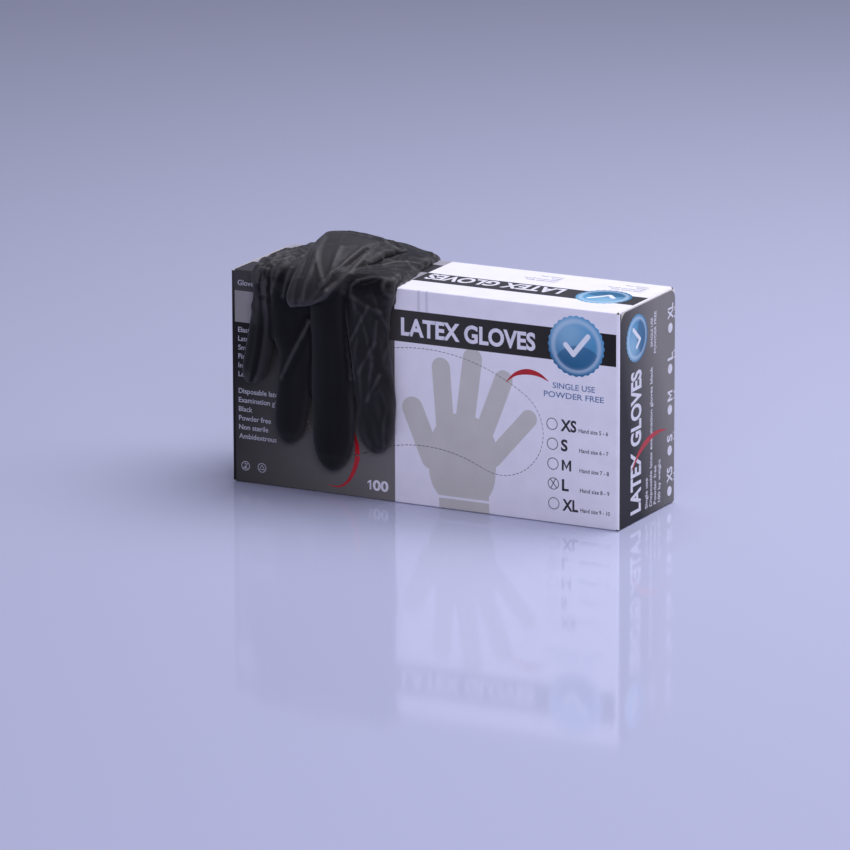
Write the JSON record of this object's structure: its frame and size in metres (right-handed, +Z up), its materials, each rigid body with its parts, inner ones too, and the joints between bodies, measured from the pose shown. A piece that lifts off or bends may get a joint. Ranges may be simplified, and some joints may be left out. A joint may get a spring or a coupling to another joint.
{
  "type": "disposable glove dispenser box",
  "caption": "Folding carton of disposable gloves with a perforated tear-out dispensing panel, glued end flaps and one black glove draped over its top.",
  "frame": {"origin": "centre of the carton's footprint, on the surface that it stands on", "axes": "+X along the carton to its right end, +Y from the front panel to the back panel, +Z up"},
  "size_m": [0.24, 0.0949, 0.1423],
  "materials": {
    "boxboard": "printed and varnished",
    "latex": "satin",
    "hot_melt": "satin"
  },
  "bodies": {
    "carton": {"back_panel": "boxboard", "bottom_panel": "boxboard", "first_glove": "latex", "front_bottom_crease": "boxboard", "front_panel": "boxboard", "front_top_crease": "boxboard", "glove_stack": "latex", "glue_flap": "boxboard", "left_bottom_dust_flap": "boxboard", "left_inner_flap_crease": "boxboard", "left_outer_flap_crease": "boxboard", "left_top_dust_flap": "boxboard", "rear_top_crease": "boxboard", "right_bottom_dust_flap": "boxboard", "right_inner_flap_crease": "boxboard", "right_outer_flap_crease": "boxboard", "right_top_dust_flap": "boxboard", "seam_crease": "boxboard", "seam_glue": "hot_melt", "top_panel": "boxboard"},
    "dispensing_panel": {"tear_panel": "boxboard"},
    "draped_glove": {"glove_palm": "latex", "glove_knuckles": "latex", "glove_cuff": "latex", "cuff_bead": "latex", "thumb": "latex", "little_finger": "latex", "ring_finger": "latex", "middle_finger": "latex", "index_finger": "latex"},
    "left_outer_flap": {"left_outer_flap": "boxboard"},
    "left_inner_flap": {"left_inner_flap": "boxboard", "left_end_glue": "hot_melt"},
    "right_outer_flap": {"right_outer_flap": "boxboard"},
    "right_inner_flap": {"right_inner_flap": "boxboard", "right_end_glue": "hot_melt"}
  },
  "joints": [
    {"name": "right_outer_flap_fold", "type": "hinge", "parent": "carton", "child": "right_outer_flap", "pos_m": [0.1192, -0.0347, 0.061], "axis": [0, 0, -1], "range_deg": [0, 170]},
    {"name": "right_inner_flap_fold", "type": "hinge", "parent": "carton", "child": "right_inner_flap", "pos_m": [0.11855, 0.0347, 0.061], "axis": [0, 0, 1], "range_deg": [0, 85]},
    {"name": "left_outer_flap_fold", "type": "hinge", "parent": "carton", "child": "left_outer_flap", "pos_m": [-0.1192, -0.0347, 0.061], "axis": [0, 0, 1], "range_deg": [0, 170]},
    {"name": "left_inner_flap_fold", "type": "hinge", "parent": "carton", "child": "left_inner_flap", "pos_m": [-0.11855, 0.0347, 0.061], "axis": [0, 0, -1], "range_deg": [0, 85]},
    {"name": "dispensing_panel_pull", "type": "slide", "parent": "carton", "child": "dispensing_panel", "axis": [0, -1, 0], "range_m": [0, 0.08], "deforming": ["ring_finger", "middle_finger", "index_finger"]},
    {"name": "draped_glove_lift", "type": "slide", "parent": "carton", "child": "draped_glove", "axis": [0, 0, 1], "range_m": [0, 0.12]}
  ],
  "couplings": [
    {"joint": "right_inner_flap_fold", "follows": "right_outer_flap_fold", "ratio": 0.5},
    {"joint": "left_inner_flap_fold", "follows": "left_outer_flap_fold", "ratio": 0.5}
  ]
}
